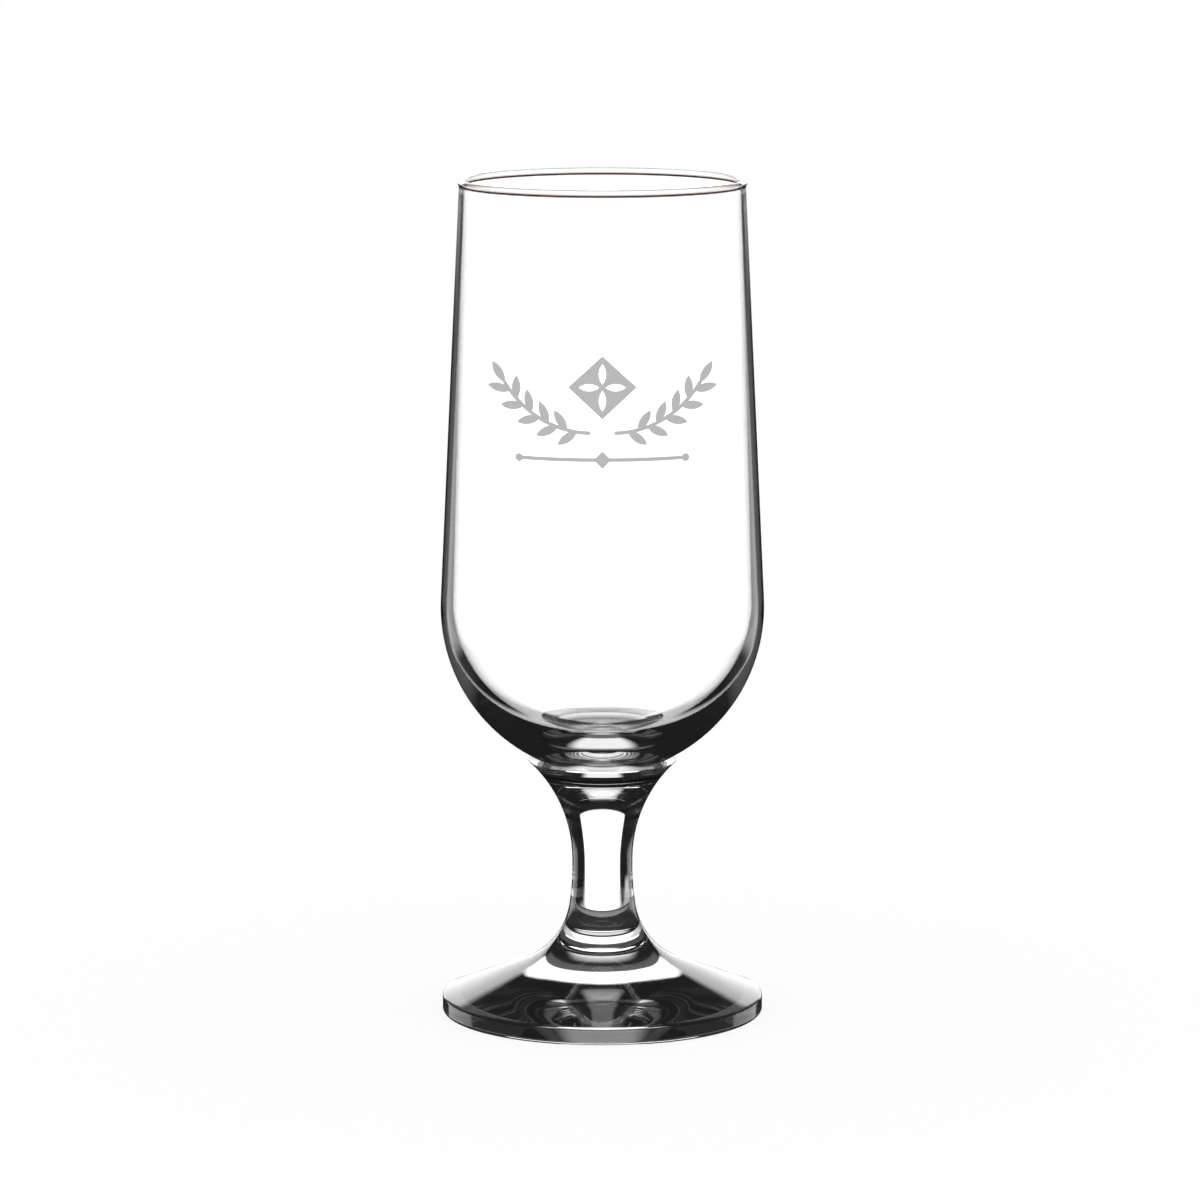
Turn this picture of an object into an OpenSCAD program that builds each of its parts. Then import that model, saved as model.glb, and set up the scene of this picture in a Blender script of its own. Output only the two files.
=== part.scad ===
// Stemmed pilsner glass: a blown bowl fused on a flared stem, fused on a pressed foot.
// Lengths are millimetres. The glass stands on z = 0 and the print faces -Y.

/* [Bowl] */
// Height of the glass, from the table to the top of the rim
glass_height = 187; // [170:1:205]
// Outer radius of the wall, just under the rim
rim_radius = 31.6; // [28:0.1:34.5]
// Thickness of the wall, just under the rim
rim_wall = 0.95; // [0.8:0.05:2]
// How far the fire-polished bead along the rim stands out from the wall, on either side
bead_proud = 0.32; // [0.1:0.02:0.6]
// Outer radius of the belly, the widest part of the bowl
belly_radius = 36; // [33:0.1:38]
// Thickness of the wall at the belly
belly_wall = 2.5; // [1.8:0.1:3.5]
// Radius of the outer curve from the belly down to the weld
underside_radius = 37.8; // [36:0.1:42]
// Radius of the disc of glass where the bowl is fused on the stem
bowl_weld_radius = 12; // [10:0.1:14]
// Thickness of the glass between the weld and the inside floor
floor_thickness = 5; // [4:0.1:8]
// Radius of the shallow curve of the inside floor
floor_curve_radius = 40; // [34:1:60]
// Radius at which the inside floor turns up into the wall
floor_radius = 12; // [9:0.5:14]

/* [Stem] */
// Radius of the stem at its waist
waist_radius = 6.75; // [5.5:0.05:8.5]
// Length of the straight part of the waist
waist_length = 1.8; // [0.5:0.1:12]
// Radius of the flare from the waist up to the capital
upper_flare_radius = 31; // [26:0.5:40]
// Width of the ledge around the weld, on the stem's dished top or capital
capital_ledge = 4.5; // [4:0.1:5.5]
// Height by which the ledge rises from the weld to its lip
ledge_rise = 0.7; // [0.3:0.05:1.1]
// Height of the lip's upright edge
capital_edge = 0.2; // [0.1:0.1:1]
// Radius of the long flare from the waist down
lower_flare_radius = 54; // [40:1:70]
// Angle that the long flare turns through
lower_flare_angle = 9; // [6:0.5:12]

/* [Foot] */
// Outer radius of the foot
foot_radius = 35.9; // [33:0.1:40]
// Height of the foot's edge
foot_edge = 4.3; // [3.4:0.1:5]
// Rounding of the edge's upper corner
edge_upper_round = 0.9; // [0.4:0.1:1.2]
// Rounding of the edge's lower corner
edge_lower_round = 0.9; // [0.4:0.1:1.2]
// Slope of the foot's top
foot_slope = 21.8; // [19:0.1:24]
// Radius of the tight flare from the foot's top into the stem
foot_flare_radius = 16.8; // [14.4:0.2:19]
// Steepness, from upright, of the flare at the seam between foot and stem
foot_seam_angle = 39; // [25:1:55]
// Width of the flat ring that the foot rests on
rest_width = 5; // [3:0.1:8]
// Height of the hollow underside at its middle
hollow_height = 0.8; // [0.5:0.1:3]

/* [Print] */
// Distance of the print's middle below the rim
print_drop = 47.5; // [35:0.5:60]
// Thickness of the fired enamel
enamel_thickness = 0.1; // [0.06:0.01:0.2]
// Half width of the middle lozenge
lozenge_half_width = 7.4; // [6:0.1:8]
// Half height of the middle lozenge
lozenge_half_height = 6.8; // [6:0.1:8]
// Height of the lozenge's middle above the print's middle
lozenge_rise = 5.2; // [3:0.1:7]
// Length of the leaf-shaped openings in the lozenge
petal_length = 4.4; // [2:0.1:4.8]
// Width of the leaf-shaped openings in the lozenge
petal_width = 1.6; // [0.8:0.1:2]
// Radius of the arc that a sprig's stalk follows
sprig_radius = 22; // [18:0.5:28]
// Width of a sprig's stalk
stalk_width = 0.8; // [0.5:0.1:1.2]
// Distance from the print's middle line to the foot of a sprig
sprig_start = 2.6; // [1.5:0.1:5]
// Depth of a sprig's foot below the print's middle
sprig_drop = 4.6; // [3:0.1:6]
// Number of leaves along the sides of a sprig's stalk
leaf_count = 9; // [5:1:11]
// Length of a leaf
leaf_length = 5.2; // [4:0.1:5.8]
// Width of a leaf
leaf_width = 1.9; // [1.2:0.1:2.1]
// Angle that a sprig's stalk turns through
sprig_sweep = 58; // [45:1:62]
// Angle between a leaf and its stalk
leaf_spread = 44; // [38:1:50]
// Length of the rule below the sprigs
rule_length = 36; // [24:0.5:44]
// Width of the rule's line
rule_width = 0.8; // [0.5:0.1:1.2]
// Depth of the rule below the print's middle
rule_drop = 10.4; // [9:0.1:12]
// Half width of the diamond in the middle of the rule
rule_diamond = 1.9; // [1.2:0.1:2.4]
// Diameter of the dots at the ends of the rule
rule_dot = 1.7; // [1.2:0.1:2.4]

/* [Hidden] */
$fn = 96;

// Largest distance between an arc and its chords
chord_gap = 0.008;
// Length by which the print's stamps run past the belly
overrun = 1;

// Share of a sprig's arc, from its foot, where its first leaves sit
first_leaf_share = 0.14;
// Share of the leaf length by which a leaf's root overlaps its stalk
leaf_root_share = 0.06;
// Share of the lozenge's half height between its middle and a petal opening
petal_gap_share = 0.1;

// Foot: where the rounded edge passes into the slope
slope_turn = 90 - foot_slope;
edge_centre = [foot_radius - edge_upper_round, foot_edge - edge_upper_round];
slope_foot = edge_centre + edge_upper_round * [cos(slope_turn), sin(slope_turn)];

// Capital: the stem's dished top, under the bowl
capital_radius = bowl_weld_radius + capital_ledge;

// Flares: radii and heights where one curve passes into the next, from the foot up
long_flare_end_r = waist_radius + lower_flare_radius * (1 - cos(lower_flare_angle));
slope_head_r = long_flare_end_r + foot_flare_radius * (cos(lower_flare_angle) - cos(slope_turn));
slope_head_z = slope_foot.y + (slope_foot.x - slope_head_r) * tan(foot_slope);
foot_flare_centre = [slope_head_r, slope_head_z] + foot_flare_radius * [cos(slope_turn), sin(slope_turn)];
long_flare_end_z = foot_flare_centre.y - foot_flare_radius * sin(lower_flare_angle);
waist_z = long_flare_end_z + lower_flare_radius * sin(lower_flare_angle);
long_flare_centre = [waist_radius + lower_flare_radius, waist_z];
upper_flare_centre = [waist_radius + upper_flare_radius, waist_z + waist_length];
capital_angle = acos(1 - (capital_radius - waist_radius) / upper_flare_radius);

// Seam and weld planes, and the lip of the capital
foot_seam_z = foot_flare_centre.y - foot_flare_radius * sin(foot_seam_angle);
lip_z = upper_flare_centre.y + upper_flare_radius * sin(capital_angle) + capital_edge;
bowl_weld_z = lip_z - ledge_rise;
floor_z = bowl_weld_z + floor_thickness;

// Bowl: centre of the outer curve, and the angle at which it meets the weld
weld_angle = acos((bowl_weld_radius - belly_radius + underside_radius) / underside_radius);
underside_centre = [belly_radius - underside_radius, bowl_weld_z + underside_radius * sin(weld_angle)];

// Bead: its centre, and the angles at which it meets the wall outside and inside
bead_radius = rim_wall / 2 + bead_proud;
bead_centre = [rim_radius - rim_wall / 2, glass_height - bead_radius];
bead_outer_angle = -acos(rim_wall / 2 / bead_radius);
bead_inner_angle = 180 - bead_outer_angle;
bead_outer_end = bead_centre + bead_radius * [cos(bead_outer_angle), sin(bead_outer_angle)];
bead_inner_end = bead_centre + bead_radius * [cos(bead_inner_angle), sin(bead_inner_angle)];

// Inside: the floor's curve, then the curve up to the belly
floor_angle = asin(floor_radius / floor_curve_radius);
floor_centre = [0, floor_z + floor_curve_radius];
inner_radius = (belly_radius - belly_wall - floor_radius) / (1 - sin(floor_angle));
inner_centre = [belly_radius - belly_wall - inner_radius,
                floor_centre.y - (floor_curve_radius - inner_radius) * cos(floor_angle)];

// Angle, about a circle, of the point where a line from p touches it
function touch_angle(p, centre, radius) =
    atan2(p.y - centre.y, p.x - centre.x) - acos(radius / norm(p - centre));
outer_wall_angle = touch_angle(bead_outer_end, underside_centre, underside_radius);
inner_wall_angle = touch_angle(bead_inner_end, inner_centre, inner_radius);
wall_foot = underside_centre + underside_radius * [cos(outer_wall_angle), sin(outer_wall_angle)];

// Foot: the hollow underside
hollow_radius = foot_radius - edge_lower_round - rest_width;
hollow_curve_radius = (pow(hollow_radius, 2) + pow(hollow_height, 2)) / (2 * hollow_height);
hollow_angle = asin(hollow_radius / hollow_curve_radius);

// Print: height of its middle, and depth of the stamps from the glass's axis
print_height = glass_height - print_drop;
stamp_depth = belly_radius + overrun;

// Outer radius of the straight wall at height z
function wall_radius(z) =
    wall_foot.x + (bead_outer_end.x - wall_foot.x) * (z - wall_foot.y) / (bead_outer_end.y - wall_foot.y);

// Points along an arc, with chords no further than chord_gap from it
function arc(centre, radius, from, to) =
    let (steps = max(2, ceil(abs(to - from) / (2 * acos(1 - chord_gap / radius)))))
    [for (i = [0 : steps])
        let (angle = from + (to - from) * i / steps)
        centre + radius * [cos(angle), sin(angle)]];

// Half sections of the three glass pieces, as [radius, height]
function bowl_section() = concat(
    [[0, bowl_weld_z]],
    arc(underside_centre, underside_radius, -weld_angle, outer_wall_angle),
    arc(bead_centre, bead_radius, bead_outer_angle, bead_inner_angle),
    arc(inner_centre, inner_radius, inner_wall_angle, floor_angle - 90),
    [for (p = arc(floor_centre, floor_curve_radius, floor_angle - 90, -90)) if (p.x < floor_radius) p]);

function stem_section() = concat(
    [[0, foot_seam_z]],
    arc(foot_flare_centre, foot_flare_radius, 180 + foot_seam_angle, 180 + lower_flare_angle),
    [for (p = arc(long_flare_centre, lower_flare_radius, 180 + lower_flare_angle, 180))
        if (p.y > long_flare_end_z) p],
    arc(upper_flare_centre, upper_flare_radius, 180, 180 - capital_angle),
    [[capital_radius, lip_z], [bowl_weld_radius, bowl_weld_z], [0, bowl_weld_z]]);

function foot_section() = concat(
    arc([0, hollow_height - hollow_curve_radius], hollow_curve_radius, 90, 90 - hollow_angle),
    arc([foot_radius - edge_lower_round, edge_lower_round], edge_lower_round, -90, 0),
    arc(edge_centre, edge_upper_round, 0, slope_turn),
    arc(foot_flare_centre, foot_flare_radius, 180 + slope_turn, 180 + foot_seam_angle),
    [[0, foot_seam_z]]);

// Clear glass, a solid of revolution of a half section
module glass(section) {
    color([0.86, 0.9, 0.91, 0.45])
        rotate_extrude()
            polygon(section);
}

module bowl() {
    glass(bowl_section());
}

module stem() {
    glass(stem_section());
}

module foot() {
    glass(foot_section());
}

// Skin of enamel on the front of the bowl, where the upright stamps of the children reach it
module enamel() {
    low = wall_foot.y;
    high = bead_outer_end.y;
    color([0.73, 0.725, 0.73])
        intersection() {
            rotate_extrude()
                polygon([[wall_radius(low), low],
                         [wall_radius(low) + enamel_thickness, low],
                         [wall_radius(high) + enamel_thickness, high],
                         [wall_radius(high), high]]);
            translate([0, 0, print_height])
                rotate([90, 0, 0])
                    children();
        }
}

// Stamp of a flat outline, which reaches out past the front wall
module stamp() {
    linear_extrude(stamp_depth)
        children();
}

// Stamp of a pointed leaf from the origin along +X, where two round arcs cross
module leaf(length, width) {
    radius = (pow(length, 2) + pow(width, 2)) / (4 * width);
    stamp()
        intersection_for (side = [-1, 1])
            translate([length / 2, side * (radius - width / 2)])
                circle(radius);
}

// Lozenge with four leaf-shaped openings around its middle
module print_lozenge() {
    enamel()
        translate([0, lozenge_rise, 0])
            difference() {
                stamp()
                    polygon([[lozenge_half_width, 0], [0, lozenge_half_height],
                             [-lozenge_half_width, 0], [0, -lozenge_half_height]]);
                for (turn = [0 : 90 : 270])
                    rotate(turn)
                        translate([petal_gap_share * lozenge_half_height, 0, 0])
                            leaf(petal_length, petal_width);
            }
}

// Leaf that grows from the stalk at an angle along its arc, turned away from the stalk
module stalk_leaf(angle, turn) {
    rotate(angle)
        translate([sprig_radius, 0, 0])
            rotate(90 + turn)
                translate([-leaf_root_share * leaf_length, 0, 0])
                    leaf(leaf_length, leaf_width);
}

// Sprig that curves out and up to the right: a stalk along an arc, with leaves on alternate sides
module sprig() {
    tip = sprig_sweep - 90;
    translate([sprig_start, sprig_radius - sprig_drop, 0]) {
        rotate(-90)
            rotate_extrude(angle = sprig_sweep)
                translate([sprig_radius - stalk_width / 2, 0])
                    square([stalk_width, stamp_depth]);
        for (i = [0 : leaf_count - 1])
            stalk_leaf(sprig_sweep * (first_leaf_share + (1 - first_leaf_share) * i / leaf_count) - 90,
                       (i % 2 == 0 ? -1 : 1) * leaf_spread);
        stalk_leaf(tip, 0);
    }
}

module print_sprig_right() {
    enamel()
        sprig();
}

module print_sprig_left() {
    enamel()
        mirror([1, 0, 0])
            sprig();
}

// Rule with a diamond in its middle and a dot at either end
module print_rule() {
    enamel()
        translate([0, -rule_drop, 0]) {
            stamp()
                square([rule_length, rule_width], center = true);
            stamp()
                polygon([[rule_diamond, 0], [0, rule_diamond], [-rule_diamond, 0], [0, -rule_diamond]]);
            for (side = [-1, 1])
                translate([side * rule_length / 2, 0, 0])
                    stamp()
                        circle(d = rule_dot);
        }
}

bowl();
stem();
foot();
print_lozenge();
print_sprig_left();
print_sprig_right();
print_rule();
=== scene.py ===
"""Stemmed pilsner glass: the looks of the bowl, stem, foot and print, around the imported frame.

Lengths are metres. The glass stands on z = 0 with its axis on Z, and its print faces -Y.
"""

import logging
import math
from dataclasses import dataclass
from enum import Enum

import bpy
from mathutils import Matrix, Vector


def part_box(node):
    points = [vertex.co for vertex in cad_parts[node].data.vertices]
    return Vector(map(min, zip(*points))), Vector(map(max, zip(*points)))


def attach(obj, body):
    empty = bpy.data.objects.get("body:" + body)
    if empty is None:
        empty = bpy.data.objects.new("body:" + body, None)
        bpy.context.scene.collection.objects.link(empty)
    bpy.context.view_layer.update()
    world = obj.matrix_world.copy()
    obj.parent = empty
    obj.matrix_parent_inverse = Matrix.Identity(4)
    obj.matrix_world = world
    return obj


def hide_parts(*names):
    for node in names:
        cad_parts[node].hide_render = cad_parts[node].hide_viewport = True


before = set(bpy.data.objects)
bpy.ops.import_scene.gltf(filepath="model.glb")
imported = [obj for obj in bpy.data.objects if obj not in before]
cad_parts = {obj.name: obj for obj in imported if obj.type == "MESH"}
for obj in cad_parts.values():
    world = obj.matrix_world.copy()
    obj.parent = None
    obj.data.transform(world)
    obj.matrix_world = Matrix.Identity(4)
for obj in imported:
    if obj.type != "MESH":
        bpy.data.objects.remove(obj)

LOG = logging.getLogger("pilsner_glass")
Point = tuple[float, float]
Colour = tuple[float, float, float, float]
Socket = bpy.types.NodeSocket

BODY = "root"
WHITE: Colour = (1.0, 1.0, 1.0, 1.0)

# How finely round shapes are divided
TURN_STEPS = 240
ARC_STEP = math.radians(2.5)
RIM_STEP = math.radians(6)
FEWEST_STEPS = 3
# Turns of light inside the glass that are followed
LIGHT_BOUNCES = 32
# Distance within which two points are one
SAME_PLACE = 1e-6
# Place of the fused faces' material among the materials of a piece
FUSED = 1
# A ray's turns are whole numbers, so each of these limits lies between two of them
ANY_TURN = 0.5
ONE_TURN = 1.5
BOTH_WALLS = 3.5
FEW_TURNS = 4.5


class Slot(Enum):
    """Material slots of the record that the pieces take their finish from."""

    GLASS = "clear_glass"
    ENAMEL = "grey_enamel"


class Seen(Enum):
    """How the glass shows a panel of the studio."""

    ALWAYS = "mirrored and through the glass"
    MIRRORED = "mirrored on the outside of the glass"
    THROUGH = "through the glass, after few turns inside it"
    TURNED = "through the glass, and mirrored inside it"
    STRAIGHT = "straight through the glass, and never mirrored"
    WALLS = "straight through both walls of the bowl"


def arc(centre: Point, radius: float, start: float, end: float, step: float = ARC_STEP) -> list[Point]:
    """Gives the points along a round stretch of a half section.

    Args:
        centre: Centre of the arc, as radius and height.
        radius: Radius of the arc.
        start: Angle of the first point, in degrees from the outward direction.
        end: Angle of the last point, in degrees.
        step: Largest angle between two points.

    Returns:
        The points, both ends included.
    """
    steps = max(FEWEST_STEPS, math.ceil(abs(math.radians(end - start)) / step))
    angles = [math.radians(start + (end - start) * i / steps) for i in range(steps + 1)]
    return [(centre[0] + radius * math.cos(a), centre[1] + radius * math.sin(a)) for a in angles]


def line(start: Point, end: Point, steps: int) -> list[Point]:
    """Gives the points inside a straight stretch of a half section.

    Args:
        start: First end, which isn't returned.
        end: Second end, which isn't returned.
        steps: Number of equal parts.

    Returns:
        The points between the ends.
    """
    shares = [i / steps for i in range(1, steps)]
    return [(start[0] + (end[0] - start[0]) * s, start[1] + (end[1] - start[1]) * s) for s in shares]


def touch_angle(point: Point, centre: Point, radius: float) -> float:
    """Gives where a line from a point touches a circle, on the circle's outer side.

    Args:
        point: Point outside the circle.
        centre: Centre of the circle.
        radius: Radius of the circle.

    Returns:
        The angle about the centre, in degrees.
    """
    across, up = point[0] - centre[0], point[1] - centre[1]
    return math.degrees(math.atan2(up, across) - math.acos(radius / math.hypot(across, up)))


class Lathe:
    """Turns half sections into closed meshes, as a glass worker turns a piece about its axis."""

    @staticmethod
    def turn(name: str, section: list[Point]) -> bpy.types.Object:
        """Makes a piece from its half section.

        Args:
            name: Name of the piece.
            section: Points of radius and height, from the axis round to the axis.

        Returns:
            The piece, smooth all over, with its faces pointing outwards.
        """
        bpy.ops.object.select_all(action="DESELECT")
        bpy.ops.mesh.primitive_plane_add(size=1)
        piece = bpy.context.object
        piece.name = name
        piece.data.name = name
        bpy.ops.object.mode_set(mode="EDIT")
        bpy.ops.mesh.merge(type="CENTER")
        bpy.ops.transform.translate(value=(section[0][0], 0, section[0][1]))
        for (r0, z0), (r1, z1) in zip(section, section[1:]):
            bpy.ops.mesh.extrude_region_move(TRANSFORM_OT_translate={"value": (r1 - r0, 0, z1 - z0)})
        bpy.ops.mesh.select_all(action="SELECT")
        bpy.ops.mesh.spin(steps=TURN_STEPS, angle=2 * math.pi, center=(0, 0, 0), axis=(0, 0, 1))
        bpy.ops.mesh.select_all(action="SELECT")
        bpy.ops.mesh.remove_doubles(threshold=SAME_PLACE)
        bpy.ops.mesh.normals_make_consistent(inside=False)
        bpy.ops.object.mode_set(mode="OBJECT")
        bpy.ops.object.shade_smooth()
        return piece

    @staticmethod
    def sharpen(piece: bpy.types.Object, ring: Point) -> None:
        """Keeps a ring of edges sharp, where the glass has a corner.

        Args:
            piece: Piece that has the ring.
            ring: Radius and height of the ring.
        """
        mesh = piece.data
        for edge in mesh.edges:
            ends = [mesh.vertices[i].co for i in edge.vertices]
            if all(math.dist((math.hypot(p.x, p.y), p.z), ring) < SAME_PLACE for p in ends):
                edge.use_edge_sharp = True

    @staticmethod
    def paint_disc(piece: bpy.types.Object, radius: float, height: float) -> None:
        """Gives the flat disc where two pieces are fused the material of fused faces.

        Args:
            piece: Piece that has the disc.
            radius: Radius of the disc.
            height: Height of the disc.
        """
        mesh = piece.data
        for face in mesh.polygons:
            corners = [mesh.vertices[i].co for i in face.vertices]
            level = all(abs(p.z - height) < SAME_PLACE for p in corners)
            if level and all(math.hypot(p.x, p.y) < radius + SAME_PLACE for p in corners):
                face.material_index = FUSED


class Nodes:
    """Short calls that add and join the nodes of one shader tree."""

    def __init__(self, tree: bpy.types.NodeTree) -> None:
        """Empties the tree and keeps it."""
        self.tree = tree
        tree.nodes.clear()

    def add(self, kind: str, **values: object) -> bpy.types.Node:
        """Adds a node.

        Args:
            kind: Blender's name of the node's type.
            values: Properties of the node, by name.

        Returns:
            The node.
        """
        node = self.tree.nodes.new(kind)
        for name, value in values.items():
            setattr(node, name, value)
        return node

    def feed(self, socket: Socket, source: object) -> None:
        """Sets a socket to a constant, or joins it to another node's output.

        Args:
            socket: Input to set.
            source: Output socket, or a constant.
        """
        if isinstance(source, Socket):
            self.tree.links.new(source, socket)
        else:
            socket.default_value = source

    def math(self, operation: str, *sources: object) -> Socket:
        """Adds a Math node.

        Args:
            operation: Blender's name of the operation.
            sources: Outputs or constants that it works on.

        Returns:
            The result.
        """
        node = self.add("ShaderNodeMath", operation=operation)
        for socket, source in zip(node.inputs, sources):
            self.feed(socket, source)
        return node.outputs[0]

    def height_of(self, vector: Socket) -> Socket:
        """Takes the upward part of a vector.

        Args:
            vector: The vector.

        Returns:
            Its upward part.
        """
        node = self.add("ShaderNodeSeparateXYZ")
        self.feed(node.inputs[0], vector)
        return node.outputs["Z"]

    def blend(self, share: Socket, first: Colour, second: Colour) -> Socket:
        """Adds a mix of two colours.

        Args:
            share: Share of the second colour.
            first: Colour where the share is 0.
            second: Colour where the share is 1.

        Returns:
            The mixed colour.
        """
        node = self.add("ShaderNodeMix", data_type="RGBA")
        for name, source in zip(("Factor", "A", "B"), (share, first, second)):
            self.feed(node.inputs[name], source)
        return node.outputs["Result"]

    def ramp(self, value: Socket, low: float, high: float, to: Point) -> Socket:
        """Passes a value smoothly from one level to another.

        Args:
            value: Value that is measured.
            low: Value at which the first level ends.
            high: Value at which the second level starts.
            to: The two levels.

        Returns:
            The level.
        """
        node = self.add("ShaderNodeMapRange", interpolation_type="SMOOTHSTEP")
        for socket, source in zip(node.inputs, (value, low, high, *to)):
            self.feed(socket, source)
        return node.outputs[0]


@dataclass(frozen=True)
class ClearGlass:
    """Clear soda-lime glass, whose surface keeps faint waves from the mould and the flame.

    A ring of it can carry a painted dark line: brownish painted shade in its colour under the
    fire-polished bead, where the rim's edge shows a dark line.
    """

    name: str
    wave_size: float
    wave_depth: float
    wave_detail: float = 1.0
    tint: Colour = (0.985, 0.99, 0.987, 1.0)
    index: float = 1.52
    # Painted dark line: brownish painted shade in the colour of a ring under the bead
    painted_dark_line: Colour = (0.25, 0.19, 0.17, 1.0)
    painted_line_height: float | None = None
    painted_line_halves: Point = (0.0002, 0.0006)

    def material(self) -> bpy.types.Material:
        """Makes the material.

        Returns:
            A clear glass with waves, and the tinge if it has one, on Object coordinates.
        """
        made = bpy.data.materials.new(self.name)
        made.use_nodes = True
        nodes = Nodes(made.node_tree)
        place = nodes.add("ShaderNodeTexCoord").outputs["Object"]
        waves = nodes.add("ShaderNodeTexNoise")
        nodes.feed(waves.inputs["Vector"], place)
        nodes.feed(waves.inputs["Scale"], 1 / self.wave_size)
        nodes.feed(waves.inputs["Detail"], self.wave_detail)
        bump = nodes.add("ShaderNodeBump")
        nodes.feed(bump.inputs["Distance"], self.wave_depth)
        nodes.feed(bump.inputs["Height"], waves.outputs["Fac"])
        glass = nodes.add("ShaderNodeBsdfPrincipled")
        glass.inputs["Base Color"].default_value = self.tint
        # Painted shade: a brownish dark line in the glass's colour around the neck under the bead
        if self.painted_line_height is not None:
            above = nodes.math("SUBTRACT", nodes.height_of(place), self.painted_line_height)
            share = nodes.ramp(nodes.math("ABSOLUTE", above), *self.painted_line_halves, (1.0, 0.0))
            nodes.feed(glass.inputs["Base Color"], nodes.blend(share, self.tint, self.painted_dark_line))
        glass.inputs["Roughness"].default_value = 0.0
        glass.inputs["IOR"].default_value = self.index
        glass.inputs["Transmission Weight"].default_value = 1.0
        nodes.feed(glass.inputs["Normal"], bump.outputs[0])
        nodes.feed(nodes.add("ShaderNodeOutputMaterial").inputs["Surface"], glass.outputs[0])
        return made


@dataclass(frozen=True)
class FusedFace:
    """Face inside the glass, where two pieces are fused and nothing is seen."""

    name: str = "fused_face"

    def material(self) -> bpy.types.Material:
        """Makes the material.

        Returns:
            A clear pass-through.
        """
        made = bpy.data.materials.new(self.name)
        made.use_nodes = True
        nodes = Nodes(made.node_tree)
        clear = nodes.add("ShaderNodeBsdfTransparent")
        nodes.feed(nodes.add("ShaderNodeOutputMaterial").inputs["Surface"], clear.outputs[0])
        return made


@dataclass(frozen=True)
class FiredEnamel:
    """Grey enamel printed on the glass and fired, with a fine grain of pigment."""

    name: str = "fired_enamel"
    light: Colour = (0.55, 0.54, 0.545, 1.0)
    dark: Colour = (0.51, 0.5, 0.505, 1.0)
    grain_size: float = 0.0004
    grain_detail: float = 3.0
    grain_span: Point = (0.3, 0.7)
    roughness: Point = (0.38, 0.52)

    def material(self) -> bpy.types.Material:
        """Makes the material.

        Returns:
            A satin grey with grain in its colour and gloss.
        """
        made = bpy.data.materials.new(self.name)
        made.use_nodes = True
        nodes = Nodes(made.node_tree)
        place = nodes.add("ShaderNodeTexCoord").outputs["Object"]
        grain = nodes.add("ShaderNodeTexNoise")
        nodes.feed(grain.inputs["Vector"], place)
        nodes.feed(grain.inputs["Scale"], 1 / self.grain_size)
        nodes.feed(grain.inputs["Detail"], self.grain_detail)
        speck = grain.outputs["Fac"]
        satin = nodes.add("ShaderNodeBsdfPrincipled")
        nodes.feed(satin.inputs["Base Color"], nodes.blend(speck, self.dark, self.light))
        nodes.feed(satin.inputs["Roughness"], nodes.ramp(speck, *self.grain_span, self.roughness))
        nodes.feed(nodes.add("ShaderNodeOutputMaterial").inputs["Surface"], satin.outputs[0])
        return made


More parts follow.
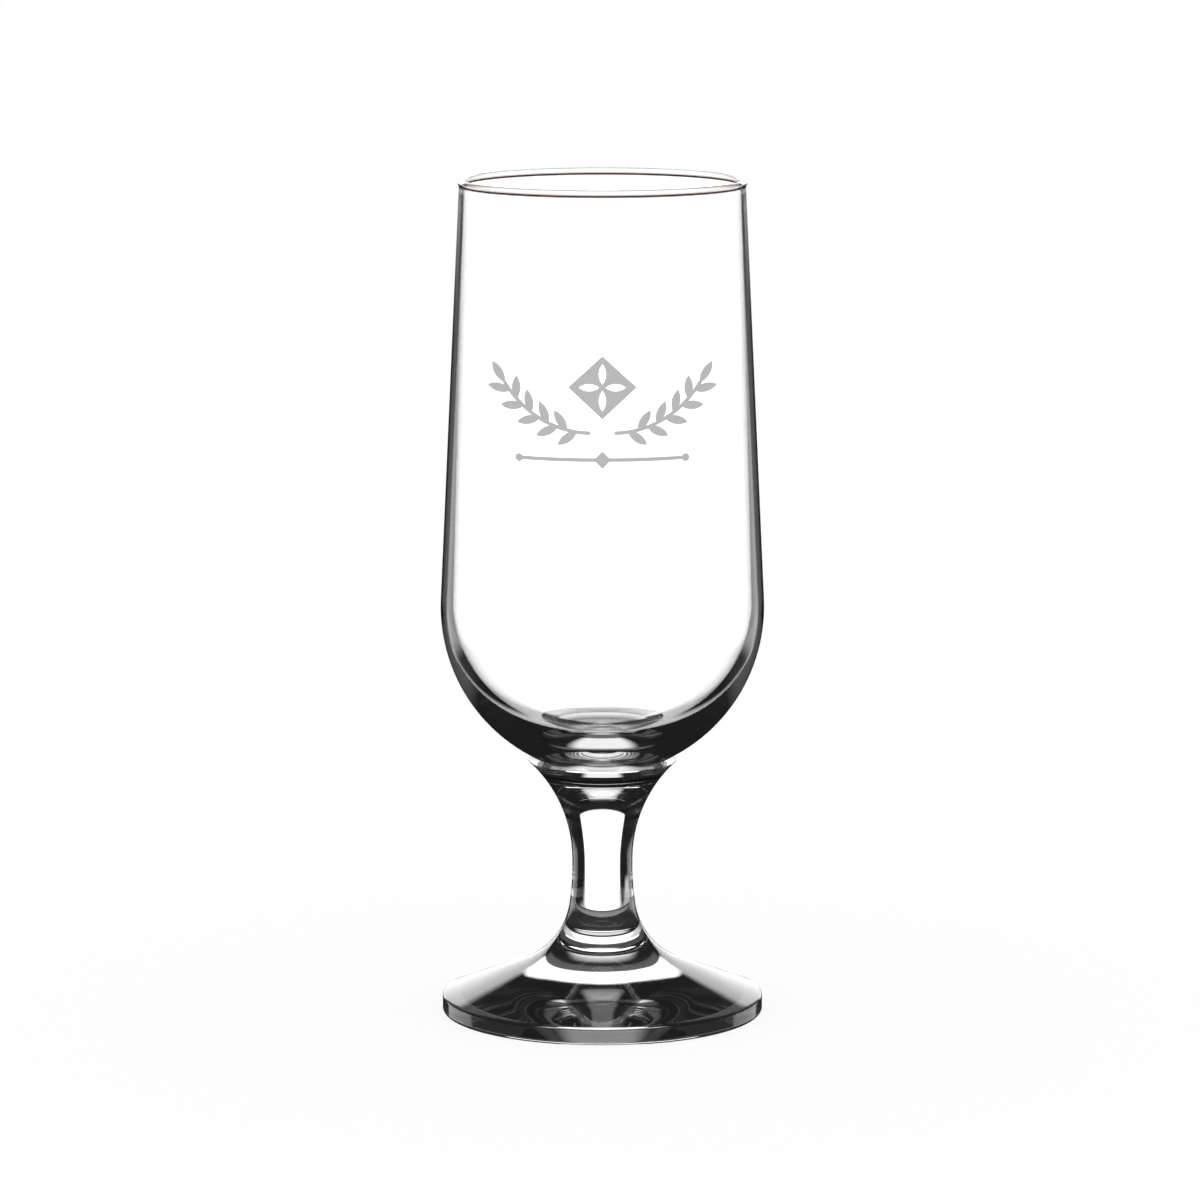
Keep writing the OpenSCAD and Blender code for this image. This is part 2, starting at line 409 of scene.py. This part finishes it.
@dataclass
class Bowl:
    """Blown bowl: a tall wall with a fire-polished bead, a round underside and a thick base."""

    rim_radius: float = 0.0316
    rim_wall: float = 0.00095
    bead_proud: float = 0.00032
    bead_blend: float = 0.0009
    neck_depth: float = 0.0013
    belly_wall: float = 0.0025
    underside_radius: float = 0.0378
    weld_radius: float = 0.012
    floor_thickness: float = 0.005
    floor_curve_radius: float = 0.04
    floor_radius: float = 0.012
    wall_steps: int = 24

    def rim(self, top: float) -> list[Point]:
        """Works out the bead, which runs into both faces of the wall through small hollow rounds.

        Args:
            top: Height of the rim.

        Returns:
            The points, from the wall's outer face over the bead to its inner face.
        """
        half = self.rim_wall / 2
        bead_radius, side = half + self.bead_proud, half + self.bead_blend
        turn = math.degrees(math.acos(side / (bead_radius + self.bead_blend)))
        bead = (self.rim_radius - half, top - bead_radius)
        foot = bead[1] - side * math.tan(math.radians(turn))
        outer = arc((bead[0] + side, foot), self.bead_blend, 180, 180 - turn, RIM_STEP)
        inner = arc((bead[0] - side, foot), self.bead_blend, turn, 0, RIM_STEP)
        return [*outer, *arc(bead, bead_radius, -turn, 180 + turn, RIM_STEP)[1:-1], *inner]

    def section(self) -> list[Point]:
        """Works out the half section from the node's box.

        Returns:
            The points, from the weld round the wall to the inside floor.
        """
        low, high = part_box("bowl")
        weld_z, top, belly = low.z, high.z, high.x
        turn = math.acos((self.weld_radius - belly + self.underside_radius) / self.underside_radius)
        underside = (belly - self.underside_radius, weld_z + self.underside_radius * math.sin(turn))
        rim = self.rim(top)
        floor_share = self.floor_radius / self.floor_curve_radius
        floor_turn = math.asin(floor_share)
        floor = (0.0, weld_z + self.floor_thickness + self.floor_curve_radius)
        inner_belly = belly - self.belly_wall
        inner_radius = (inner_belly - self.floor_radius) / (1 - floor_share)
        inner = (
            inner_belly - inner_radius,
            floor[1] - (self.floor_curve_radius - inner_radius) * math.cos(floor_turn),
        )
        outer_touch = touch_angle(rim[0], underside, self.underside_radius)
        inner_touch = touch_angle(rim[-1], inner, inner_radius)
        floor_edge = math.degrees(floor_turn) - 90
        outside = arc(underside, self.underside_radius, -math.degrees(turn), outer_touch)
        inside = arc(inner, inner_radius, inner_touch, floor_edge)
        base = arc(floor, self.floor_curve_radius, floor_edge, -90)
        return [
            (0.0, weld_z),
            *outside,
            *line(outside[-1], rim[0], self.wall_steps),
            *rim,
            *line(rim[-1], inside[0], self.wall_steps),
            *inside,
            *base[1:],
        ]

    def build(self) -> bpy.types.Object:
        """Turns the bowl.

        Returns:
            The bowl, with its weld as a sharp-edged disc.
        """
        section = self.section()
        bowl = Lathe.turn("glass_bowl", section)
        Lathe.sharpen(bowl, section[1])
        return bowl

    def dress(self, bowl: bpy.types.Object, glass: bpy.types.Material, fused: bpy.types.Material) -> None:
        """Gives the bowl its glass, with its weld seen through.

        Args:
            bowl: The bowl.
            glass: Material of the outside and inside.
            fused: Material of the weld.
        """
        bowl.data.materials.append(glass)
        bowl.data.materials.append(fused)
        Lathe.paint_disc(bowl, self.weld_radius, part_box("bowl")[0].z)


@dataclass
class Stem:
    """Solid stem: a waist that flares up to a dished capital with a sharp lip, and down to the foot."""

    waist_radius: float = 0.00675
    waist_length: float = 0.0018
    upper_flare_radius: float = 0.031
    capital_edge: float = 0.0002
    lower_flare_radius: float = 0.054
    lower_flare_angle: float = 9.0
    foot_flare_radius: float = 0.0168
    foot_seam_angle: float = 39.0
    waist_steps: int = 2

    def section(self) -> list[Point]:
        """Works out the half section from the boxes of the stem and the bowl.

        Returns:
            The points, from the seam with the foot up to the lip and in to the weld with the bowl.
        """
        low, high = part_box("stem")
        seam_z, lip_z, capital = low.z, high.z, high.x
        weld_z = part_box("bowl")[0].z
        spread = math.acos(1 - (capital - self.waist_radius) / self.upper_flare_radius)
        waist_top = lip_z - self.capital_edge - self.upper_flare_radius * math.sin(spread)
        waist_foot = waist_top - self.waist_length
        upper = (self.waist_radius + self.upper_flare_radius, waist_top)
        lower = (self.waist_radius + self.lower_flare_radius, waist_foot)
        bend = math.radians(self.lower_flare_angle)
        reach = self.lower_flare_radius - self.foot_flare_radius
        foot_flare = (lower[0] - reach * math.cos(bend), lower[1] - reach * math.sin(bend))
        bend_at = 180 + self.lower_flare_angle
        tight = arc(foot_flare, self.foot_flare_radius, 180 + self.foot_seam_angle, bend_at)
        long = arc(lower, self.lower_flare_radius, bend_at, 180)
        wide = arc(upper, self.upper_flare_radius, 180, 180 - math.degrees(spread))
        LOG.info("stem seam at z %.5f by the curves, %.5f by the box", tight[0][1], seam_z)
        return [
            (0.0, seam_z),
            (tight[0][0], seam_z),
            *tight[1:],
            *long[1:],
            *line(long[-1], wide[0], self.waist_steps),
            *wide,
            (capital, lip_z),
            (Bowl.weld_radius, weld_z),
            (0.0, weld_z),
        ]

    def build(self) -> bpy.types.Object:
        """Turns the stem.

        Returns:
            The stem, with sharp edges at its capital, weld and seam.
        """
        section = self.section()
        stem = Lathe.turn("glass_stem", section)
        for ring in (section[1], *section[-4:-1]):
            Lathe.sharpen(stem, ring)
        return stem

    def dress(self, stem: bpy.types.Object, glass: bpy.types.Material, fused: bpy.types.Material) -> None:
        """Gives the stem its glass, with its weld and seam seen through.

        Args:
            stem: The stem.
            glass: Material of the outside.
            fused: Material of the weld and the seam.
        """
        stem.data.materials.append(glass)
        stem.data.materials.append(fused)
        low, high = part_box("stem")
        Lathe.paint_disc(stem, Bowl.weld_radius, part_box("bowl")[0].z)
        Lathe.paint_disc(stem, high.x, low.z)


@dataclass
class Foot:
    """Pressed foot: a sloping disc with a plain edge, hollow underneath."""

    edge_height: float = 0.0043
    edge_round: float = 0.0009
    slope: float = 21.8
    rest_width: float = 0.005
    hollow_height: float = 0.0008
    slope_steps: int = 12
    rest_steps: int = 2

    def section(self, seam: Point) -> list[Point]:
        """Works out the half section from the node's box.

        Args:
            seam: Radius and height of the seam's edge, from the stem.

        Returns:
            The points, from the hollow round the edge up to the seam.
        """
        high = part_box("foot")[1]
        flare_radius, seam_angle = Stem.foot_flare_radius, math.radians(Stem.foot_seam_angle)
        flare_centre = (
            seam[0] + flare_radius * math.cos(seam_angle),
            seam[1] + flare_radius * math.sin(seam_angle),
        )
        rest_outer = high.x - self.edge_round
        rest_inner = rest_outer - self.rest_width
        hollow_radius = (rest_inner**2 + self.hollow_height**2) / (2 * self.hollow_height)
        hollow_turn = math.degrees(math.asin(rest_inner / hollow_radius))
        hollow = arc((0.0, self.hollow_height - hollow_radius), hollow_radius, 90, 90 - hollow_turn)
        lower = arc((rest_outer, self.edge_round), self.edge_round, -90, 0)
        upper = arc((rest_outer, self.edge_height - self.edge_round), self.edge_round, 0, 90 - self.slope)
        flare = arc(flare_centre, flare_radius, 270 - self.slope, 180 + Stem.foot_seam_angle)
        return [
            *hollow,
            *line(hollow[-1], lower[0], self.rest_steps),
            *lower,
            *line(lower[-1], upper[0], self.rest_steps),
            *upper,
            *line(upper[-1], flare[0], self.slope_steps),
            *flare[:-1],
            seam,
            (0.0, seam[1]),
        ]

    def build(self, seam: Point) -> bpy.types.Object:
        """Turns the foot.

        Args:
            seam: Radius and height of the seam's edge, from the stem.

        Returns:
            The foot, with a sharp edge at its seam.
        """
        foot = Lathe.turn("glass_foot", self.section(seam))
        Lathe.sharpen(foot, seam)
        return foot

    def dress(self, foot: bpy.types.Object, glass: bpy.types.Material, fused: bpy.types.Material) -> None:
        """Gives the foot its glass, with its seam seen through.

        Args:
            foot: The foot.
            glass: Material of the outside.
            fused: Material of the seam.
        """
        foot.data.materials.append(glass)
        foot.data.materials.append(fused)
        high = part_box("foot")[1]
        Lathe.paint_disc(foot, high.x, high.z)


@dataclass(frozen=True)
class Window:
    """White panel of the studio, as seen from the glass, with soft edges.

    A panel with a sill is round, and is cut off level at the sill's elevation. Angles are degrees.
    """

    seen: Seen
    azimuth: float
    elevation: float
    half_width: float
    half_height: float
    level: float
    soft: float = 1.5
    sill: float | None = None

    def level_of(self, nodes: Nodes, direction: Socket) -> Socket:
        """Adds the nodes that tell how much of a ray's direction falls on the panel.

        Args:
            nodes: The world's nodes.
            direction: Direction of the ray.

        Returns:
            The panel's level there, or 0 beside it.
        """
        turn, lift = math.radians(self.azimuth), math.radians(self.elevation)
        ahead = Vector((math.sin(turn) * math.cos(lift), math.cos(turn) * math.cos(lift), math.sin(lift)))
        right = Vector((math.cos(turn), -math.sin(turn), 0))
        parts = []
        for axis in (ahead, right, right.cross(ahead)):
            dot = nodes.add("ShaderNodeVectorMath", operation="DOT_PRODUCT")
            nodes.feed(dot.inputs[0], direction)
            nodes.feed(dot.inputs[1], axis)
            parts.append(dot.outputs["Value"])
        angles = [nodes.math("ABSOLUTE", nodes.math("ARCTAN2", part, parts[0])) for part in parts[1:]]
        panel = self.square(nodes, angles) if self.sill is None else self.rounded(nodes, angles, direction)
        facing = nodes.math("GREATER_THAN", parts[0], 0.0)
        return nodes.math("MULTIPLY", nodes.math("MULTIPLY", facing, panel), self.level)

    def square(self, nodes: Nodes, angles: list[Socket]) -> Socket:
        """Adds the nodes of a panel with four straight edges.

        Args:
            nodes: The world's nodes.
            angles: Angles across and up from the panel's middle.

        Returns:
            1 on the panel, and 0 beside it.
        """
        across, along = (
            nodes.ramp(angle, math.radians(half - self.soft), math.radians(half + self.soft), (1.0, 0.0))
            for angle, half in zip(angles, (self.half_width, self.half_height))
        )
        return nodes.math("MULTIPLY", across, along)

    def rounded(self, nodes: Nodes, angles: list[Socket], direction: Socket) -> Socket:
        """Adds the nodes of a round panel that is cut off at its sill.

        Args:
            nodes: The world's nodes.
            angles: Angles across and up from the panel's middle.
            direction: Direction of the ray.

        Returns:
            1 on the panel, and 0 beside it.
        """
        across, along = (
            nodes.math("POWER", nodes.math("DIVIDE", angle, math.radians(half)), 2.0)
            for angle, half in zip(angles, (self.half_width, self.half_height))
        )
        reach = nodes.math("SQRT", nodes.math("ADD", across, along))
        soft_share = self.soft / self.half_width
        disc = nodes.ramp(reach, 1 - soft_share, 1 + soft_share, (1.0, 0.0))
        lift = nodes.math("ARCSINE", nodes.height_of(direction))
        low, high = math.radians(self.sill - self.soft), math.radians(self.sill + self.soft)
        return nodes.math("MULTIPLY", disc, nodes.ramp(lift, low, high, (0.0, 1.0)))


@dataclass
class Studio:
    """White studio: a pale floor, and panels that the glass shows against dark surroundings.

    The camera sees white all round. The glass shows the floor only close to its foot, glowing with a
    painted shadow, a painted lighter level where it is seen straight through the glass, and a painted
    caustic, a pool of light under the stem, where it has been mirrored inside the glass more than once.
    """

    floor_radius: float = 8.0
    floor_white: Colour = (0.95, 0.95, 0.95, 1.0)
    shadow_radius: float = 0.3
    shadow_share: float = 0.18
    # Painted shadow of the foot on the floor that the glass shows
    shade_level: float = 0.03
    shade_radii: Point = (0.02, 0.046)
    # Painted light on that floor: a lighter level straight through the glass, and a painted caustic under the
    # stem
    painted_straight_light: float = 0.35
    painted_caustic_level: float = 0.9
    painted_caustic_radii: Point = (0.014, 0.022)
    dark: float = 0.012
    windows: tuple[Window, ...] = (
        # Behind the glass, for the picture
        Window(Seen.STRAIGHT, azimuth=0, elevation=-0.5, half_width=26, half_height=21, level=1.8),
        Window(Seen.STRAIGHT, azimuth=0, elevation=-24, half_width=24, half_height=11, level=1.6, soft=5),
        Window(Seen.STRAIGHT, azimuth=0, elevation=-44, half_width=28, half_height=12, level=1.0, soft=8),
        Window(Seen.TURNED, azimuth=0, elevation=5, half_width=26.3, half_height=27, level=1.8, sill=2.5),
        Window(Seen.THROUGH, azimuth=0, elevation=-8, half_width=26, half_height=12, level=0.15, soft=3),
        Window(Seen.THROUGH, azimuth=0, elevation=-36, half_width=14, half_height=17, level=1.0, soft=4),
        Window(Seen.THROUGH, azimuth=0, elevation=42, half_width=10, half_height=5, level=0.3, soft=3),
        Window(Seen.THROUGH, azimuth=0, elevation=57, half_width=12, half_height=9, level=0.13, soft=3),
        # Over the glass
        Window(Seen.THROUGH, azimuth=0, elevation=90, half_width=18, half_height=18, level=1.15, soft=3),
        # Behind and beside the glass, mirrored on its outside
        Window(Seen.MIRRORED, azimuth=0, elevation=12.5, half_width=26, half_height=15.5, level=2.4, soft=3),
        Window(Seen.MIRRORED, azimuth=0, elevation=-9, half_width=3.5, half_height=7, level=1.9),
        Window(Seen.MIRRORED, azimuth=52, elevation=-9, half_width=18, half_height=9, level=1.6, soft=3),
        Window(Seen.MIRRORED, azimuth=-52, elevation=-9, half_width=18, half_height=9, level=1.6, soft=3),
        # Weak fill from the camera's side
        Window(Seen.ALWAYS, azimuth=180, elevation=15, half_width=60, half_height=35, level=0.1, soft=20),
        # Behind the bowl, for looks at the glass from other sides
        Window(Seen.WALLS, azimuth=-90, elevation=-10, half_width=20, half_height=20, level=1.6, soft=4),
        Window(Seen.WALLS, azimuth=-45, elevation=-31, half_width=20, half_height=16, level=1.6, soft=4),
        Window(Seen.WALLS, azimuth=135, elevation=-20, half_width=20, half_height=16, level=1.6, soft=4),
        # Behind the stem and the foot, for the same looks
        Window(Seen.STRAIGHT, azimuth=-90, elevation=-1, half_width=8, half_height=4, level=1.6, soft=2),
        Window(Seen.STRAIGHT, azimuth=-45, elevation=-19.5, half_width=6, half_height=3.5, level=0.6, soft=2),
        Window(Seen.STRAIGHT, azimuth=135, elevation=-9, half_width=8, half_height=4, level=1.6, soft=2),
        Window(Seen.STRAIGHT, azimuth=-90, elevation=-6, half_width=9, half_height=10, level=0.5, soft=4),
        Window(Seen.STRAIGHT, azimuth=-45, elevation=-28, half_width=9, half_height=8, level=0.5, soft=4),
        Window(Seen.STRAIGHT, azimuth=135, elevation=-18, half_width=9, half_height=8, level=0.5, soft=4),
    )

    @staticmethod
    def from_glass(nodes: Nodes, rays: bpy.types.Node) -> Socket:
        """Tells which rays are mirrored or bent, and not scattered by a matt surface before.

        Args:
            nodes: Nodes of the floor or the world.
            rays: Their Light Path node.

        Returns:
            1 for such a ray, and 0 for any other.
        """
        turned = nodes.math("MAXIMUM", rays.outputs["Is Glossy Ray"], rays.outputs["Is Transmission Ray"])
        unscattered = nodes.math("LESS_THAN", rays.outputs["Diffuse Depth"], ANY_TURN)
        return nodes.math("MULTIPLY", turned, unscattered)

    @staticmethod
    def rays_by_panel(nodes: Nodes, rays: bpy.types.Node) -> dict[Seen, Socket]:
        """Tells which rays see which panels.

        Args:
            nodes: The world's nodes.
            rays: Their Light Path node.

        Returns:
            1 or 0 for a ray, for each kind of panel that only some rays see.
        """
        passed, mirrored = rays.outputs["Transmission Depth"], rays.outputs["Glossy Depth"]
        inside = nodes.math("GREATER_THAN", passed, ANY_TURN)
        through = nodes.math("MULTIPLY", inside, nodes.math("LESS_THAN", mirrored, FEW_TURNS))
        straight = nodes.math("LESS_THAN", mirrored, ANY_TURN)
        turned = nodes.math("GREATER_THAN", mirrored, ANY_TURN)
        walls = nodes.math("GREATER_THAN", passed, BOTH_WALLS)
        return {
            Seen.MIRRORED: nodes.math("LESS_THAN", passed, ANY_TURN),
            Seen.THROUGH: through,
            Seen.TURNED: nodes.math("MULTIPLY", through, turned),
            Seen.STRAIGHT: straight,
            Seen.WALLS: nodes.math("MULTIPLY", straight, walls),
        }

    def floor_in_glass(self, nodes: Nodes, rays: bpy.types.Node, reach: Socket) -> Socket:
        """Adds the nodes of the floor as the glass shows it.

        Args:
            nodes: The floor's nodes.
            rays: Their Light Path node.
            reach: Distance from the glass's axis.

        Returns:
            A shader that glows with painted shade and painted light close to the glass,
            and is clear farther out.
        """
        mirrored = rays.outputs["Glossy Depth"]
        # Painted caustic: a pool of light under the stem, on rays mirrored inside the glass more than once
        painted_caustic = nodes.ramp(reach, *self.painted_caustic_radii, (self.painted_caustic_level, self.shade_level))
        painted_caustic = nodes.math("MULTIPLY", painted_caustic, nodes.math("GREATER_THAN", mirrored, ONE_TURN))
        # Painted lighter floor, on rays seen straight through the glass
        straight = nodes.math("MULTIPLY", nodes.math("LESS_THAN", mirrored, ANY_TURN), self.painted_straight_light)
        # Painted shadow of the foot wherever neither is brighter
        lit = nodes.math("MAXIMUM", nodes.math("MAXIMUM", painted_caustic, straight), self.shade_level)
        shade = nodes.add("ShaderNodeEmission")
        nodes.feed(shade.inputs["Strength"], lit)
        nearby = nodes.add("ShaderNodeMixShader")
        nodes.feed(nearby.inputs[0], nodes.ramp(reach, *self.shade_radii, (0.0, 1.0)))
        nodes.feed(nearby.inputs[1], shade.outputs[0])
        nodes.feed(nearby.inputs[2], nodes.add("ShaderNodeBsdfTransparent").outputs[0])
        return nearby.outputs[0]

    def build_floor(self) -> bpy.types.Object:
        """Makes the floor.

        Returns:
            A white disc that keeps the glass's shadow, and that the glass itself shows only close by,
            with painted shade and light there.
        """
        bpy.ops.object.select_all(action="DESELECT")
        bpy.ops.mesh.primitive_circle_add(vertices=TURN_STEPS, radius=self.floor_radius, fill_type="NGON")
        floor = bpy.context.object
        floor.name = "studio_floor"
        made = bpy.data.materials.new("studio_floor")
        made.use_nodes = True
        nodes = Nodes(made.node_tree)
        length = nodes.add("ShaderNodeVectorMath", operation="LENGTH")
        nodes.feed(length.inputs[0], nodes.add("ShaderNodeTexCoord").outputs["Object"])
        reach = length.outputs["Value"]
        rays = nodes.add("ShaderNodeLightPath")
        matt = nodes.add("ShaderNodeBsdfDiffuse")
        nodes.feed(matt.inputs["Color"], self.floor_white)
        share = nodes.ramp(reach, 0.0, self.shadow_radius, (1 - self.shadow_share, 1.0))
        plain = nodes.add("ShaderNodeMixShader")
        nodes.feed(plain.inputs[0], nodes.math("MULTIPLY", share, rays.outputs["Is Camera Ray"]))
        nodes.feed(plain.inputs[1], matt.outputs[0])
        nodes.feed(plain.inputs[2], nodes.add("ShaderNodeEmission").outputs[0])
        # Rays from the glass see the floor with painted shade and light near the foot
        seen = nodes.add("ShaderNodeMixShader")
        nodes.feed(seen.inputs[0], self.from_glass(nodes, rays))
        nodes.feed(seen.inputs[1], plain.outputs[0])
        nodes.feed(seen.inputs[2], self.floor_in_glass(nodes, rays, reach))
        nodes.feed(nodes.add("ShaderNodeOutputMaterial").inputs["Surface"], seen.outputs[0])
        floor.data.materials.append(made)
        return floor

    def build_world(self) -> bpy.types.World:
        """Makes the surroundings.

        Returns:
            A world that is white to the camera, and panels on a dark ground to the glass.
        """
        world = bpy.data.worlds.new("studio_world")
        bpy.context.scene.world = world
        world.use_nodes = True
        nodes = Nodes(world.node_tree)
        direction = nodes.add("ShaderNodeTexCoord").outputs["Generated"]
        rays = nodes.add("ShaderNodeLightPath")
        shares = self.rays_by_panel(nodes, rays)
        level = self.dark
        for window in self.windows:
            part = window.level_of(nodes, direction)
            if window.seen in shares:
                part = nodes.math("MULTIPLY", part, shares[window.seen])
            level = nodes.math("MAXIMUM", level, part)
        shown = nodes.add("ShaderNodeMix", data_type="FLOAT")
        nodes.feed(shown.inputs["Factor"], self.from_glass(nodes, rays))
        nodes.feed(shown.inputs["A"], 1.0)
        nodes.feed(shown.inputs["B"], level)
        background = nodes.add("ShaderNodeBackground")
        nodes.feed(background.inputs["Strength"], shown.outputs["Result"])
        nodes.feed(background.inputs["Color"], WHITE)
        nodes.feed(nodes.add("ShaderNodeOutputWorld").inputs["Surface"], background.outputs[0])
        return world


@dataclass
class Portrait:
    """Camera of the picture, in front of the glass and higher than its rim, tilted down to it."""

    distance: float = 1.230994
    height: float = 0.286763
    pitch: float = 8.936
    lens: float = 168.01
    sensor: float = 36.0
    shift: float = -0.002

    def build(self) -> bpy.types.Object:
        """Makes the camera.

        Returns:
            The camera, set as the scene's own.
        """
        bpy.ops.object.select_all(action="DESELECT")
        bpy.ops.object.camera_add(
            location=(0, -self.distance, self.height), rotation=(math.radians(90 - self.pitch), 0, 0)
        )
        camera = bpy.context.object
        camera.name = "portrait_camera"
        camera.data.sensor_width = self.sensor
        camera.data.lens = self.lens
        camera.data.shift_x = self.shift
        camera.data.dof.use_dof = False
        bpy.context.scene.camera = camera
        return camera


def settle(piece: bpy.types.Object, node: str) -> None:
    """Puts a piece on the glass's body in place of its node.

    Args:
        piece: The piece.
        node: Node that it stands for.
    """
    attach(piece, BODY)
    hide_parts(node)
    LOG.info("%s stands for %s, %d faces", piece.name, node, len(piece.data.polygons))


def main() -> None:
    """Builds the glass, its print and the studio."""
    logging.basicConfig(level=logging.INFO, format="%(message)s")
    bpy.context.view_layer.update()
    bpy.context.scene.view_settings.view_transform = "Standard"
    tracing = bpy.context.scene.cycles
    tracing.max_bounces = tracing.glossy_bounces = tracing.transmission_bounces = LIGHT_BOUNCES

    fused = FusedFace().material()
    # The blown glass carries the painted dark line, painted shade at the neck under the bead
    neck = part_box("bowl")[1].z - Bowl.neck_depth
    blown = ClearGlass("blown_glass", wave_size=0.025, wave_depth=2e-6, painted_line_height=neck).material()
    pressed = ClearGlass("pressed_glass", wave_size=0.007, wave_depth=1.2e-5).material()
    enamel = FiredEnamel().material()

    bowl, stem, foot = Bowl(), Stem(), Foot()
    bowl_piece = bowl.build()
    bowl.dress(bowl_piece, blown, fused)
    settle(bowl_piece, "bowl")
    stem_piece = stem.build()
    stem.dress(stem_piece, pressed, fused)
    settle(stem_piece, "stem")
    foot_piece = foot.build(stem.section()[1])
    foot.dress(foot_piece, pressed, fused)
    settle(foot_piece, "foot")

    for name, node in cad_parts.items():
        if name.startswith("print_"):
            node.data.materials.clear()
            node.data.materials.append(enamel)
            LOG.info("%s keeps its solid, as %s", name, Slot.ENAMEL.value)

    studio = Studio()
    studio.build_floor()
    studio.build_world()
    Portrait().build()


if __name__ == "__main__":
    main()
